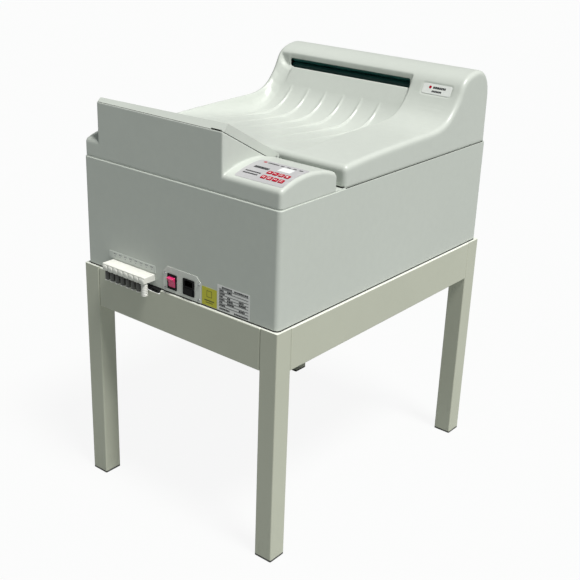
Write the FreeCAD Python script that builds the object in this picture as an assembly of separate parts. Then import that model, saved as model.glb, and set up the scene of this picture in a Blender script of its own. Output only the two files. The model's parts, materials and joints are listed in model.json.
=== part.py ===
import FreeCAD, Part
import math
import os

V = FreeCAD.Vector

# Tabletop X-ray film processor on a four-legged stand.
# Millimetres, +Z up, operator's side towards -Y, right-hand side +X.
# The shapes are drawn with Y = 0 at the middle of the tank housing and are
# moved by Y_SHIFT on export, so that the origin is the middle of the
# footprint at floor level.

# ---------------------------------------------------------------- dimensions
BODY_HX = 310.0          # half width of the tank housing
BODY_HY = 428.5          # half length of the tank housing
Z_STAND = 600.0          # top of the stand, bottom of the housing
Z_RIM = 877.0            # outer rim of the housing
Z_SEAT = 879.5           # inner rim step that the covers sit on
WALL = 6.0               # housing wall
SKIN = 4.0               # wall of the moulded covers
INSET = 2.5              # covers stand this far inside the housing faces
LEG = 50.0               # square leg tube
LEG_HX = 316.0           # outer face of the legs
LEG_HY = 434.5
LEG_WALL = 3.0
APRON_Z = 495.0          # bottom of the aprons
Y_SHIFT = 14.75          # puts the origin at the middle of the footprint

COV_HX = BODY_HX - INSET
COV_HY = BODY_HY - INSET

SLOPE = math.radians(29.0)   # film tray slope, down towards the rear
SS, CS = math.sin(SLOPE), math.cos(SLOPE)
W_X0, W_X1 = -259.0, 142.0   # width of the raised wedge and its lid
W_Y0, W_Z0 = -426.0, 1015.2  # front top edge of the wedge

DOME_Y, DOME_Z, DOME_R = -327.0, 697.6, 242.5   # arc of the front cover

PATH_X = -60.0           # middle of the film path
ROLL_X0, ROLL_X1 = -265.0, 145.0   # roller faces
PL_X0, PL_X1 = -273.0, 153.0       # outer faces of the rack side plates
JR = 4.0                 # roller journal radius
BORE = 4.06              # journal bore
SHAFT_X, SHAFT_Z = 182.0, 840.4    # drive shaft axis
Z_TOPROLL = 862.0

LID_HINGE_X, LID_HINGE_Z = -311.5, 878.2
LID_HINGE_Y = (-60.0, 300.0)

FEED_HINGE_S, FEED_HINGE_H = 201.0, 10.9

parts = {}


# ------------------------------------------------------------------- helpers
def box(x0, x1, y0, y1, z0, z1):
    return Part.makeBox(x1 - x0, y1 - y0, z1 - z0, V(x0, y0, z0))


def cx(y, z, r, x0, x1):
    return Part.makeCylinder(r, x1 - x0, V(x0, y, z), V(1, 0, 0))


def cy(x, z, r, y0, y1):
    return Part.makeCylinder(r, y1 - y0, V(x, y0, z), V(0, 1, 0))


def cz(x, y, r, z0, z1):
    return Part.makeCylinder(r, z1 - z0, V(x, y, z0), V(0, 0, 1))


def prism_x(pts, x0, x1):
    w = Part.makePolygon([V(x0, p[0], p[1]) for p in pts] + [V(x0, pts[0][0], pts[0][1])])
    return Part.Face(w).extrude(V(x1 - x0, 0, 0))


def prism_y(pts, y0, y1):
    w = Part.makePolygon([V(p[0], y0, p[1]) for p in pts] + [V(pts[0][0], y0, pts[0][1])])
    return Part.Face(w).extrude(V(0, y1 - y0, 0))


def prism_z(pts, z0, z1):
    w = Part.makePolygon([V(p[0], p[1], z0) for p in pts] + [V(pts[0][0], pts[0][1], z0)])
    return Part.Face(w).extrude(V(0, 0, z1 - z0))


def fillet(s, r, test):
    es = [e for e in s.Edges if test(e)]
    if not es:
        return s
    try:
        f = s.makeFillet(r, es)
        if f.isValid() and f.Volume > 0:
            return f
    except Exception:
        pass
    for e in es:
        pass
    print("fillet skipped", r, len(es))
    return s


def along(e, axis, tol=1e-3):
    a, b = e.Vertexes[0].Point, e.Vertexes[-1].Point
    d = b - a
    if d.Length < 1e-6:
        return False
    d.normalize()
    return abs(abs(d[axis]) - 1) < tol


def fuse(shapes):
    s = shapes[0]
    if len(shapes) > 1:
        s = s.fuse(shapes[1:])
    return s.removeSplitter()


def group(shapes):
    return Part.makeCompound(shapes)


def put(name, shape):
    parts[name] = shape


def sh(s, h, x=0.0):
    # point at distance s down the film tray and h above it
    return V(x, W_Y0 + s * CS + h * SS, W_Z0 - s * SS + h * CS)


# --------------------------------------------------------------------- stand
def leg(sx, sy):
    x0, x1 = (LEG_HX - LEG, LEG_HX) if sx > 0 else (-LEG_HX, -LEG_HX + LEG)
    y0, y1 = (LEG_HY - LEG, LEG_HY) if sy > 0 else (-LEG_HY, -LEG_HY + LEG)
    o = box(x0, x1, y0, y1, 5.0, Z_STAND)
    o = fillet(o, 3.0, lambda e: along(e, 2))
    i = box(x0 + LEG_WALL, x1 - LEG_WALL, y0 + LEG_WALL, y1 - LEG_WALL, 4.0, Z_STAND - 3.0)
    o = o.cut(i)
    # clearance holes for the apron bolts
    xi = LEG_HX - LEG
    yi = LEG_HY - LEG
    for z in BOLT_Z:
        a, b = (xi - 1, xi + LEG_WALL + 1) if sx > 0 else (-xi - LEG_WALL - 1, -xi + 1)
        o = o.cut(cx(sy * (LEG_HY - 18.0), z, 4.15, a, b))
        a, b = (yi - 1, yi + LEG_WALL + 1) if sy > 0 else (-yi - LEG_WALL - 1, -yi + 1)
        o = o.cut(cy(sx * (LEG_HX - 15.0), z, 4.15, a, b))
    return o


def foot(sx, sy):
    x0, x1 = (LEG_HX - LEG, LEG_HX) if sx > 0 else (-LEG_HX, -LEG_HX + LEG)
    y0, y1 = (LEG_HY - LEG, LEG_HY) if sy > 0 else (-LEG_HY, -LEG_HY + LEG)
    pad = box(x0, x1, y0, y1, 0.0, 5.0)
    pad = fillet(pad, 3.0, lambda e: along(e, 2))
    g = LEG_WALL + 0.2
    plug = box(x0 + g, x1 - g, y0 + g, y1 - g, 5.0, 22.0)
    return fuse([pad, plug])


BOLT_Z = (520.0, 575.0)


def bolt(p, d):
    # hex-head bolt M8 x 16, head seat at p, shank along d
    n = V(*d)
    u = V(0, 0, 1)
    w = n.cross(u)
    pts = []
    for k in range(6):
        a = math.radians(60 * k)
        pts.append(p + u * (7.5 * math.cos(a)) + w * (7.5 * math.sin(a)))
    f = Part.Face(Part.makePolygon(pts + [pts[0]]))
    head = f.extrude(n * -5.3)
    shank = Part.makeCylinder(4.0, 16.0, p, n)
    return head.fuse(shank).removeSplitter()


def tray_panel(x0, x1, y0, y1, z0, z1, t, face):
    # folded sheet panel, open on the side away from its face
    o = box(x0, x1, y0, y1, z0, z1)
    if face == "-y":
        o = fillet(o, 4.0, lambda e: along(e, 2) and abs(e.Vertexes[0].Y - y0) < 0.01)
        o = fillet(o, 3.5, lambda e: along(e, 0) and abs(e.Vertexes[0].Y - y0) < 0.01)
        i = box(x0 + t, x1 - t, y0 + t, y1 + 1, z0 + t, z1 - t)
        w = box(x0 + 25, x1 - 25, y0 + 22, y1 + 1, z0 - 1, z1 + 1)
    elif face == "+y":
        o = fillet(o, 4.0, lambda e: along(e, 2) and abs(e.Vertexes[0].Y - y1) < 0.01)
        o = fillet(o, 2.5, lambda e: along(e, 0) and abs(e.Vertexes[0].Y - y1) < 0.01)
        i = box(x0 + t, x1 - t, y0 - 1, y1 - t, z0 + t, z1 - t)
        w = box(x0 + 25, x1 - 25, y0 - 1, y1 - 22, z0 - 1, z1 + 1)
    elif face == "-x":
        o = fillet(o, 2.5, lambda e: (along(e, 2) or along(e, 1)) and abs(e.Vertexes[0].X - x0) < 0.01
                   and abs(e.Vertexes[-1].X - x0) < 0.01)
        i = box(x0 + t, x1 + 1, y0 + t, y1 - t, z0 + t, z1 - t)
        w = box(x0 + 22, x1 + 1, y0 + 25, y1 - 25, z0 - 1, z1 + 1)
    else:
        o = fillet(o, 2.5, lambda e: (along(e, 2) or along(e, 1)) and abs(e.Vertexes[0].X - x1) < 0.01
                   and abs(e.Vertexes[-1].X - x1) < 0.01)
        i = box(x0 - 1, x1 - t, y0 + t, y1 - t, z0 + t, z1 - t)
        w = box(x0 - 1, x1 - 22, y0 + 25, y1 - 25, z0 - 1, z1 + 1)
    return o.cut(i).cut(w)


XI = LEG_HX - LEG
YI = LEG_HY - LEG
T_SH = 2.5
for sx, nx in ((-1, "left"), (1, "right")):
    for sy, ny in ((-1, "front"), (1, "rear")):
        put("leg_%s_%s" % (ny, nx), leg(sx, sy))
put("foot_caps", group([foot(sx, sy) for sx in (-1, 1) for sy in (-1, 1)]))

ap_f = tray_panel(-XI, XI, -LEG_HY + 0.6, -LEG_HY + 33.0, APRON_Z, Z_STAND, T_SH, "-y")
notch = box(-225, -47, -LEG_HY - 1, -LEG_HY + 40.0, 589.0, Z_STAND + 1)
notch = fillet(notch, 6.0, lambda e: along(e, 1) and e.Vertexes[0].Z < 590)
ap_f = ap_f.cut(notch)
ap_r = tray_panel(-XI, XI, LEG_HY - 33.0, LEG_HY - 3.0, APRON_Z, Z_STAND, T_SH, "+y")
ap_l = tray_panel(-LEG_HX, -LEG_HX + 30, -YI, YI, APRON_Z, Z_STAND, T_SH, "-x")
ap_g = tray_panel(LEG_HX - 30, LEG_HX, -YI, YI, APRON_Z, Z_STAND, T_SH, "+x")
bolts = []
for z in BOLT_Z:
    for sx in (-1, 1):
        for sy in (-1, 1):
            yb = sy * (LEG_HY - 18.0)
            h = cx(yb, z, 4.15, sx * XI - 4, sx * XI + 4)
            if sy < 0:
                ap_f = ap_f.cut(h)
            else:
                ap_r = ap_r.cut(h)
            bolts.append(bolt(V(sx * (XI - T_SH), yb, z), (sx, 0, 0)))
            xb = sx * (LEG_HX - 15.0)
            h = cy(xb, z, 4.15, sy * YI - 4, sy * YI + 4)
            if sx < 0:
                ap_l = ap_l.cut(h)
            else:
                ap_g = ap_g.cut(h)
            bolts.append(bolt(V(xb, sy * (YI - T_SH), z), (0, sy, 0)))
put("apron_front", ap_f)
put("apron_rear", ap_r)
put("aprons_side", group([ap_l, ap_g]))

# -------------------------------------------------------------- tank housing
h = box(-BODY_HX, BODY_HX, -BODY_HY, BODY_HY, Z_STAND, Z_SEAT)
h = fillet(h, 12.0, lambda e: along(e, 2))
h = fillet(h, 4.5, lambda e: abs(e.BoundBox.ZMax - Z_STAND) < 0.01 and abs(e.BoundBox.ZMin - Z_STAND) < 0.01)
# outer half of the rim is lower than the inner half
ring = box(-BODY_HX - 1, BODY_HX + 1, -BODY_HY - 1, BODY_HY + 1, Z_RIM, Z_SEAT + 1)
core = box(-BODY_HX + 3, BODY_HX - 3, -BODY_HY + 3, BODY_HY - 3, Z_RIM - 1, Z_SEAT + 2)
core = fillet(core, 9.0, lambda e: along(e, 2))
h = h.cut(ring.cut(core))
pocket = box(-BODY_HX + WALL, BODY_HX - WALL, -BODY_HY + WALL, BODY_HY - WALL, Z_STAND + 7.0, Z_SEAT + 1)
pocket = fillet(pocket, 6.0, lambda e: along(e, 2))
h = h.cut(pocket)
# deck across the housing under the gap between the two covers
h = h.fuse(box(-BODY_HX + WALL - 1, BODY_HX - WALL + 1, -235.5, -201.0, 871.0, Z_RIM))
# switch and inlet cut-outs in the front wall
h = h.cut(box(-23.6, 3.6, -BODY_HY - 1, -BODY_HY + WALL + 1, 613.4, 648.6))
h = h.cut(box(27.4, 60.6, -BODY_HY - 1, -BODY_HY + WALL + 1, 613.4, 650.6))
# hose passages behind the manifold
for k in range(8):
    h = h.cut(cy(-207 + 18.3 * k, 625.0, 4.0, -BODY_HY - 1, -BODY_HY + WALL + 1))
# fan opening in the rear wall, with a guard of concentric ribs left in it
FAN_X, FAN_Z = 60.0, 740.0
guard = cy(FAN_X, FAN_Z, 54.0, BODY_HY - WALL - 1, BODY_HY + 1)
for r in (46.0, 36.0, 26.0):
    guard = guard.cut(cy(FAN_X, FAN_Z, r + 1.5, BODY_HY - WALL - 2, BODY_HY + 2).cut(
        cy(FAN_X, FAN_Z, r - 1.5, BODY_HY - WALL - 2, BODY_HY + 2)))
guard = guard.cut(cy(FAN_X, FAN_Z, 16.0, BODY_HY - WALL - 2, BODY_HY + 2))
guard = guard.cut(box(FAN_X - 2, FAN_X + 2, BODY_HY - WALL - 2, BODY_HY + 2, FAN_Z - 60, FAN_Z + 60))
guard = guard.cut(box(FAN_X - 60, FAN_X + 60, BODY_HY - WALL - 2, BODY_HY + 2, FAN_Z - 2, FAN_Z + 2))
h = h.cut(guard)
# hinge mortises in the left rim
for y in LID_HINGE_Y:
    h = h.cut(box(-BODY_HX - 1, LID_HINGE_X + 5.2, y - 31, y + 31, LID_HINGE_Z - 5.2, Z_SEAT + 1))
put("tank_housing", h)


# --------------------------------------------------------------- front cover
def dome_z(y, r=DOME_R):
    return DOME_Z + math.sqrt(r * r - (y - DOME_Y) ** 2)


def dome_face(off):
    r = DOME_R - off
    yf, yr = -COV_HY + off, -230.0 - off
    ya, yb = -418.0 + off * 0.6, -242.0 - off * 0.6
    za, zb = dome_z(ya, r), dome_z(yb, r)
    x = -COV_HX + off
    e = []
    p0, p1 = V(x, yf, Z_SEAT - (1 if off else 0)), V(x, yf, 911.0)
    e.append(Part.makeLine(p0, p1))
    e.append(Part.Arc(p1, V(x, yf + 2.4, 918.2 - off * 0.55), V(x, ya, za)).toShape())
    ym = (ya + yb) / 2
    e.append(Part.Arc(V(x, ya, za), V(x, ym, dome_z(ym, r)), V(x, yb, zb)).toShape())
    p2 = V(x, yr, 908.0)
    e.append(Part.Arc(V(x, yb, zb), V(x, yr - 3.6, 918.6 - off * 0.55), p2).toShape())
    p3 = V(x, yr, Z_SEAT - (1 if off else 0))
    e.append(Part.makeLine(p2, p3))
    e.append(Part.makeLine(p3, p0))
    return Part.Face(Part.Wire(Part.__sortEdges__(e)))


def wedge_z(y):
    return W_Z0 - (y - W_Y0) * SS / CS


def cover_solid(off):
    d = dome_face(off).extrude(V(2 * (COV_HX - off), 0, 0))
    r = 9.0 - off
    d = fillet(d, r, lambda e: (abs(e.BoundBox.XMin - e.BoundBox.XMax) < 0.01
                                and not (e.BoundBox.ZMax < Z_SEAT + 0.1)))
    zb = Z_SEAT - (1 if off else 0)
    w = prism_x([(W_Y0 + off, zb), (W_Y0 + off, W_Z0 + 6), (-264.0, W_Z0 + 6), (-264.0, zb)],
                W_X0 + off, W_X1 - off)
    w = w.cut(prism_x([(-500.0, wedge_z(-500.0) - off / CS), (-200.0, wedge_z(-200.0) - off / CS),
                       (-200.0, 1300.0), (-500.0, 1300.0)], -400, 400))
    if not off:
        w = fillet(w, 3.0, lambda e: along(e, 2) and abs(e.Vertexes[0].Y - W_Y0) < 0.01)
    s = d.fuse(w)
    g = 1.5 if not off else 1.5 - 0.0
    x0, x1 = W_X0 - g - off, W_X1 + g + off
    # keep the tray plane open over its whole length
    c = prism_x([(-440.0 if off else -426.5, wedge_z(-440.0 if off else -426.5) - off / CS),
                 (-200.0, wedge_z(-200.0) - off / CS), (-200.0, 1300.0), (-440.0 if off else -426.5, 1300.0)],
                x0, x1)
    return s.cut(c).removeSplitter()


fc = cover_solid(0.0).cut(cover_solid(SKIN))
# film feed slot at the low end of the tray
fc = fc.cut(box(-250.0, 130.0, -268.0, -258.0, 880.0, 960.0))
# hinge lugs for the feed lid
hp = sh(FEED_HINGE_S, FEED_HINGE_H)
for xa in (-250.0, 127.0):
    lug = cx(hp.y, hp.z, 5.2, xa, xa + 6.0)
    a, b, c_, d_ = (sh(FEED_HINGE_S - 5.0, -2.0), sh(FEED_HINGE_S + 5.0, -2.0),
                    sh(FEED_HINGE_S + 5.0, FEED_HINGE_H), sh(FEED_HINGE_S - 5.0, FEED_HINGE_H))
    neck = prism_x([(p.y, p.z) for p in (a, b, c_, d_)], xa, xa + 6.0)
    lug = lug.fuse(neck).cut(cx(hp.y, hp.z, 2.56, xa - 1, xa + 7))
    fc = fc.fuse(lug)
fc = fc.removeSplitter()

# control panel on the dome: keys in two rows, display window and label
KEY_X = (234.6, 250.6, 266.6, 282.6)
KEY_Y = (-377.2, -397.2)
KEY_W = 12.6


def dome_frame(x, y):
    z = dome_z(y)
    n = V(0, (y - DOME_Y) / DOME_R, (z - DOME_Z) / DOME_R)
    return V(x, y, z), n


def on_dome_block(x, y, wx, wy, lo, hi, r=1.6):
    # block standing square on the dome, from lo below to hi above the surface
    p, n = dome_frame(x, y)
    b = Part.makeBox(wx, wy, hi - lo, V(-wx / 2, -wy / 2, lo))
    if r:
        b = fillet(b, r, lambda e: along(e, 2))
    ang = math.degrees(math.atan2(-n.y, n.z))
    b.rotate(V(0, 0, 0), V(1, 0, 0), ang)
    b.translate(p)
    return b


for y in KEY_Y:
    for x in KEY_X:
        fc = fc.cut(on_dome_block(x, y, KEY_W + 0.7, KEY_W + 0.7, -2.8, 2.0, 1.9))
fc = fc.cut(on_dome_block(258.0, -351.0, 33.4, 21.4, -1.6, 2.0, 1.2))
put("front_cover", fc)

LB = (166.0, 300.0, -415.0, -322.0)
lab = box(LB[0], LB[1], LB[2], LB[3], 880, 960)
lab = fillet(lab, 5.0, lambda e: along(e, 2))
sk = cx(DOME_Y, DOME_Z, DOME_R + 0.6, LB[0] - 5, LB[1] + 5).cut(cx(DOME_Y, DOME_Z, DOME_R, LB[0] - 6, LB[1] + 6))
lab = lab.common(sk)
k = 1
for y in KEY_Y:
    for x in KEY_X:
        lab = lab.cut(on_dome_block(x, y, KEY_W + 0.7, KEY_W + 0.7, -3.0, 3.0, 1.9))
        key = on_dome_block(x, y, KEY_W, KEY_W, -1.6, 1.6, 1.6)
        put("key_%d" % k, key)
        k += 1
lab = lab.cut(on_dome_block(258.0, -351.0, 33.4, 21.4, -3.0, 3.0, 1.2))
put("control_label", lab)
put("display_window", on_dome_block(258.0, -351.0, 33.0, 21.0, -1.6, 0.9, 1.0))

# ------------------------------------------------------------------ feed lid
LID_LO = 1.2


def lid_outline(x, hf, hr, s0=3.0):
    a = FEED_HINGE_S
    pts = [sh(s0, LID_LO, x), sh(s0 + 5.0, hf, x), sh(a + 4.0, hr, x), sh(a + 8.0, hr - 3.0, x),
           sh(a + 9.0, FEED_HINGE_H, x), sh(a + 5.0, LID_LO + 2.2, x), sh(a, LID_LO, x)]
    return Part.makePolygon(pts + [pts[0]])


def lid_hollow(x, hf, hr):
    a = FEED_HINGE_S
    pts = [sh(6.6, LID_LO - 5, x), sh(11.4, hf - 3.0, x), sh(a + 20.0, hr - 3.0, x), sh(a + 20.0, LID_LO - 5, x)]
    return Part.makePolygon(pts + [pts[0]])


HL, HR, HE = 13.5, 21.0, 20.4
fl = Part.makeLoft([lid_outline(W_X0, HL, HE), lid_outline(W_X1, HR, HE)], True, True)
hl_t = (HR - HL) / (W_X1 - W_X0)
fh = Part.makeLoft([lid_hollow(W_X0 + 3, HL + 3 * hl_t, HE), lid_hollow(W_X1 - 3, HR - 3 * hl_t, HE)], True, True)
fl = fl.cut(fh)
fl = fl.cut(cx(hp.y, hp.z, 2.52, W_X0 - 1, W_X1 + 1))
# finger notch in the lower front edge
fn = [sh(-2.0, 0.0), sh(-2.0, 4.0), sh(9.0, 4.0), sh(9.0, 0.0)]
fl = fl.cut(prism_x([(q.y, q.z) for q in fn], 104.0, 136.0))
put("feed_lid", fl)
put("feed_lid_pin", cx(hp.y, hp.z, 2.5, W_X0 + 0.2, W_X1 - 0.2))

# ------------------------------------------------------------------ main lid
TOP = [(-190.0, 929.8), (-131.0, 935.0), (-31.0, 940.0), (74.0, 943.3), (149.0, 945.2), (180.0, 947.2),
       (207.0, 952.8), (232.0, 964.0), (252.0, 981.0), (268.0, 1001.0), (280.0, 1021.0), (289.0, 1039.0),
       (300.0, 1052.0), (317.0, 1062.0), (345.0, 1069.5), (370.0, 1071.0), (392.0, 1064.5), (409.0, 1049.0),
       (419.5, 1026.0), (423.5, 998.0)]
_sp = Part.BSplineCurve()
_sp.interpolate([V(0, p[0], p[1]) for p in TOP])
TOPD = _sp.discretize(Number=120)


def offset_line(pts, d):
    out = []
    for i in range(len(pts)):
        a = pts[max(i - 1, 0)]
        b = pts[min(i + 1, len(pts) - 1)]
        t = b - a
        t.normalize()
        out.append(V(0, pts[i].y + t.z * d, pts[i].z - t.y * d))
    return out


def lid_body(off):
    x = -COV_HX + off
    if off:
        pts = offset_line(TOPD, off)[::6] + [offset_line(TOPD, off)[-1]]
        keep = [pts[0]]
        for p in pts[1:]:
            if (p - keep[-1]).Length > 6.0:
                keep.append(p)
        pts = keep
    else:
        pts = [V(0, p[0], p[1]) for p in TOP]
    sp = Part.BSplineCurve()
    sp.interpolate([V(x, p.y, p.z) for p in pts])
    a, b = V(x, pts[0].y, pts[0].z), V(x, pts[-1].y, pts[-1].z)
    zb = Z_SEAT - (1 if off else 0)
    f0, f1 = V(x, -200.0 + off, zb), V(x, -202.0 + off, 915.0 - off * 0.3)
    r0 = V(x, COV_HY - off, zb)
    mid = V(x, -199.0 + off * 0.9, 924.6 - off * 0.75)
    e = [sp.toShape(), Part.makeLine(b, r0), Part.makeLine(r0, f0), Part.makeLine(f0, f1),
         Part.Arc(f1, mid, a).toShape()]
    w = Part.Wire(Part.__sortEdges__(e))
    s = Part.Face(w).extrude(V(2 * (COV_HX - off), 0, 0))
    r = 12.0 - off
    s = fillet(s, r, lambda e_: (abs(e_.BoundBox.XMin - e_.BoundBox.XMax) < 0.01
                                 and not (e_.BoundBox.ZMax < Z_SEAT + 0.1)))
    return s


# film receiving recess: floor falls to the rear, then curves up to the slot
REC_X0, REC_X1 = -262.0, 150.0
A0 = math.radians(-4.66)
RAMP_R = 135.0


def ramp(off):
    pts = [(-215.0, 933.9 - off), (-190.0, 932.0 - off), (-60.0, 923.4 - off), (60.0, 913.2 - off), (110.0, 909.2 - off)]
    for k_ in range(0, 21):
        t = A0 + (math.radians(60.0) - A0) * k_ / 20.0
        rr = RAMP_R + off
        pts.append((133 + RAMP_R * -math.sin(A0) + rr * math.sin(t),
                    907.5 + RAMP_R * math.cos(A0) - rr * math.cos(t)))
    return pts


def recess(off):
    pts = ramp(off)
    y_e = 286.0 + off
    pts = [p for p in pts if p[0] < y_e - 2]
    lx = pts + [(y_e, 1014.0 - off * 0.4), (297.0 + off, 1014.0), (297.0 + off, 1150.0), (-215.0, 1150.0)]
    s = prism_x(lx, REC_X0 - off, REC_X1 + off)
    return s


outer = lid_body(0.0)
inner = lid_body(SKIN)
R0 = recess(0.0)
# the left wall of the recess flares out to a narrow rounded rim


def lerp(pts, y):
    for i in range(len(pts) - 1):
        if pts[i][0] <= y <= pts[i + 1][0]:
            t = (y - pts[i][0]) / (pts[i + 1][0] - pts[i][0])
            return pts[i][1] + t * (pts[i + 1][1] - pts[i][1])
    return pts[0][1] if y < pts[0][0] else pts[-1][1]


FLOOR = ramp(0.0) + [(297.0, 1014.0)]
FLOOR = [p for p in FLOOR if p[0] <= 250.0] + [(286.0, 1006.0), (300.0, 1014.0)]


def flare(ys, dx, dz, x_rim):
    wires = []
    for y in ys:
        zt, zf = lerp(TOP, y) - 1.5, lerp(FLOOR, y) + 0.3
        zt = max(zt, zf + 3.0)
        pts = [(x_rim, zt + 90.0), (x_rim, zt - dz * 0.3)]
        for k_ in range(0, 6):
            t = k_ / 5.0
            if k_ == 0 and dx:
                continue
            f = 1.0 - (1.0 - t) ** 2.2
            pts.append((-295.0 + 38.0 * t - dx * (1.0 - t), zt - (zt - zf) * f - dz))
        pts.append((-250.0, zf - dz))
        pts.append((-250.0, zt + 90.0))
        if not dx:
            pts = pts[:1] + pts[2:]
        wires.append([V(p[0], y, p[1]) for p in pts])
    n = len(wires[0])
    fs = [Part.Face(Part.makePolygon(w + [w[0]])) for w in (wires[0], wires[-1])]
    for a, b in zip(wires, wires[1:]):
        for i in range(n):
            j = (i + 1) % n
            for tri in ((a[i], a[j], b[j]), (a[i], b[j], b[i])):
                fs.append(Part.Face(Part.makePolygon(list(tri) + [tri[0]])))
    sh_ = Part.makeShell(fs)
    sh_.sewShape()
    f = Part.Solid(sh_)
    if f.Volume < 0:
        f.reverse()
    return f


F_Y = [-186.0, -130.0, -60.0, 10.0, 70.0, 120.0, 160.0, 190.0, 215.0, 235.0, 252.0, 268.0, 284.0, 296.0]
F0 = flare(F_Y, 0.0, 0.0, -295.0)
F4 = flare([-192.0] + F_Y[1:-1] + [299.5], 3.0, 4.0, -304.5)
RP = recess(SKIN)
ml = outer.cut(R0).cut(F0)
ml = ml.cut(inner.cut(RP).cut(F4))
# exit slot
ml = ml.cut(box(-262.0, 140.0, 284.0, 304.0, 1014.0, 1035.0))
# ribs: tall on the ramp, running out low over the floor
def rib_line(off):
    src = ramp(off)
    out = []
    y = -150.0
    while y < 110.0:
        out.append((y, lerp(src, y)))
        y += 20.0
    return out + [p for p in src if 110.0 <= p[0] < 262.0]


for k in range(6):
    xr = -222.0 + 60.0 * k
    lo, lo_s = rib_line(2.0), rib_line(0.0)
    n = min(len(lo), len(lo_s))
    lo, lo_s = lo[:n], lo_s[:n]
    up = []
    for i in range(n):
        y = lo_s[i][0]
        if y < 60.0:
            hgt = 0.3 + 1.9 * (y + 150.0) / 210.0
        else:
            t = (y - 60.0) / (lo_s[-1][0] - 60.0)
            hgt = max(2.2 * (1.0 - t) + 0.2, 6.3 * math.sin(math.pi * min(1.0, t * 0.92 + 0.06)) ** 0.8)
        j0, j1 = lo_s[max(i - 1, 0)], lo_s[min(i + 1, n - 1)]
        tx, tz = j1[0] - j0[0], j1[1] - j0[1]
        L = math.hypot(tx, tz)
        up.append((lo_s[i][0] - tz / L * hgt, lo_s[i][1] + tx / L * hgt))
    ml = ml.fuse(prism_x(lo + up[::-1], xr - 2.8, xr + 2.8))
ml = ml.removeSplitter()
# nameplate pocket on the right shoulder of the hump
NP = V(233.0, 280.6, 1022.6)
NT = math.degrees(math.atan2(0.885, 0.466))   # tilt of the plate's normal from +Z towards -Y


def tilted_plate(wx, wv, lo, hi, r):
    b = Part.makeBox(wx, wv, hi - lo, V(-wx / 2, -wv / 2, lo))
    if r:
        b = fillet(b, r, lambda e: along(e, 2))
    b.rotate(V(0, 0, 0), V(1, 0, 0), NT)
    b.translate(NP)
    return b


ml = ml.cut(tilted_plate(90.0, 33.0, -1.6, 8.0, 6.0))
put("nameplate", tilted_plate(84.0, 27.0, -1.6, -0.4, 4.0))
# hinge mortises
for y in LID_HINGE_Y:
    ml = ml.cut(box(-COV_HX - 1, LID_HINGE_X + 5.2, y - 31, y + 31, Z_SEAT - 1, LID_HINGE_Z + 5.2))
put("main_lid", ml)

# main lid hinges: outer knuckles and pin on the housing, middle knuckle on the lid
fix, mov = [], []
hx, hz = LID_HINGE_X, LID_HINGE_Z
for y in LID_HINGE_Y:
    kn = [cy(hx, hz, 4.5, y - 30, y - 10.4), cy(hx, hz, 4.5, y + 10.4, y + 30)]
    leaf = box(-312.5, -310.0, y - 30, y + 30, 846.0, hz - 4.9)
    tab = [box(-312.5, -310.2, y - 30, y - 10.4, 872.0, hz), box(-312.5, -310.2, y + 10.4, y + 30, 872.0, hz)]
    pin = cy(hx, hz, 2.0, y - 30, y + 30)
    fix.append(fuse([leaf] + kn + tab + [pin]))
    kc = cy(hx, hz, 4.5, y - 10.0, y + 10.0)
    leaf2 = box(-309.5, -COV_HX, y - 30, y + 30, hz + 5.4, 906.0)
    tab2 = box(-309.5, -307.7, y - 10.0, y + 10.0, hz, hz + 6.0)
    mov.append(fuse([kc, leaf2, tab2]).cut(cy(hx, hz, 2.05, y - 11, y + 11)))
put("lid_hinge_bases", group(fix))
put("lid_hinge_leaves", group(mov))

# --------------------------------------------------------- front panel items
yf = -BODY_HY
pl = prism_y([(-40, 603.5), (82, 603.5), (82, 653), (69, 666.5), (-27, 666.5), (-40, 653)], yf - 1.2, yf)
pl = pl.cut(box(-23.6, 3.6, yf - 2, yf + 1, 613.4, 648.6)).cut(box(27.4, 60.6, yf - 2, yf + 1, 613.4, 650.6))
put("switch_plate", pl)
scr = []
for x, z in ((-33.0, 648.0), (76.0, 648.0), (-33.0, 610.5), (76.0, 610.5)):
    s = cy(x, z, 3.4, yf - 3.0, yf - 1.2)
    s = fillet(s, 1.0, lambda e: abs(e.BoundBox.YMax - (yf - 3.0)) < 0.01)
    s = s.cut(box(x - 2.6, x + 2.6, yf - 4.0, yf - 2.2, z - 0.45, z + 0.45))
    s = s.cut(box(x - 0.45, x + 0.45, yf - 4.0, yf - 2.2, z - 2.6, z + 2.6))
    scr.append(s)
put("fasteners", group(bolts + scr))

bz = box(-25.0, 5.0, yf - 3.0, yf - 1.2, 612.0, 650.0)
bz = fillet(bz, 2.0, lambda e: along(e, 1))
bz = bz.fuse(box(-23.3, 3.3, yf - 1.2, yf + 22.0, 613.7, 648.3))
bz = bz.cut(box(-21.0, 1.0, yf - 5.0, yf + 17.0, 616.0, 646.0))
ROCK_Y, ROCK_Z = yf + 2.0, 631.0
# bearing holes for the rocker's trunnions
bz = bz.cut(cx(ROCK_Y, ROCK_Z, 1.55, -22.5, 2.5))
put("switch_bezel", bz)
# the rocker leans with its top out; it turns on its middle
rk = prism_x([(-13.2, 10.4), (-6.2, 0.2), (-4.8, -13.0), (2.0, -14.0), (8.0, -9.0), (8.0, 9.0), (2.0, 14.0)], -20.6, 0.6)
rk = fillet(rk, 1.0, lambda e: along(e, 0))
rk = rk.fuse(cx(0.0, 0.0, 1.5, -22.3, 2.3))
rk.translate(V(0, ROCK_Y, ROCK_Z))
put("rocker", rk)

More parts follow.
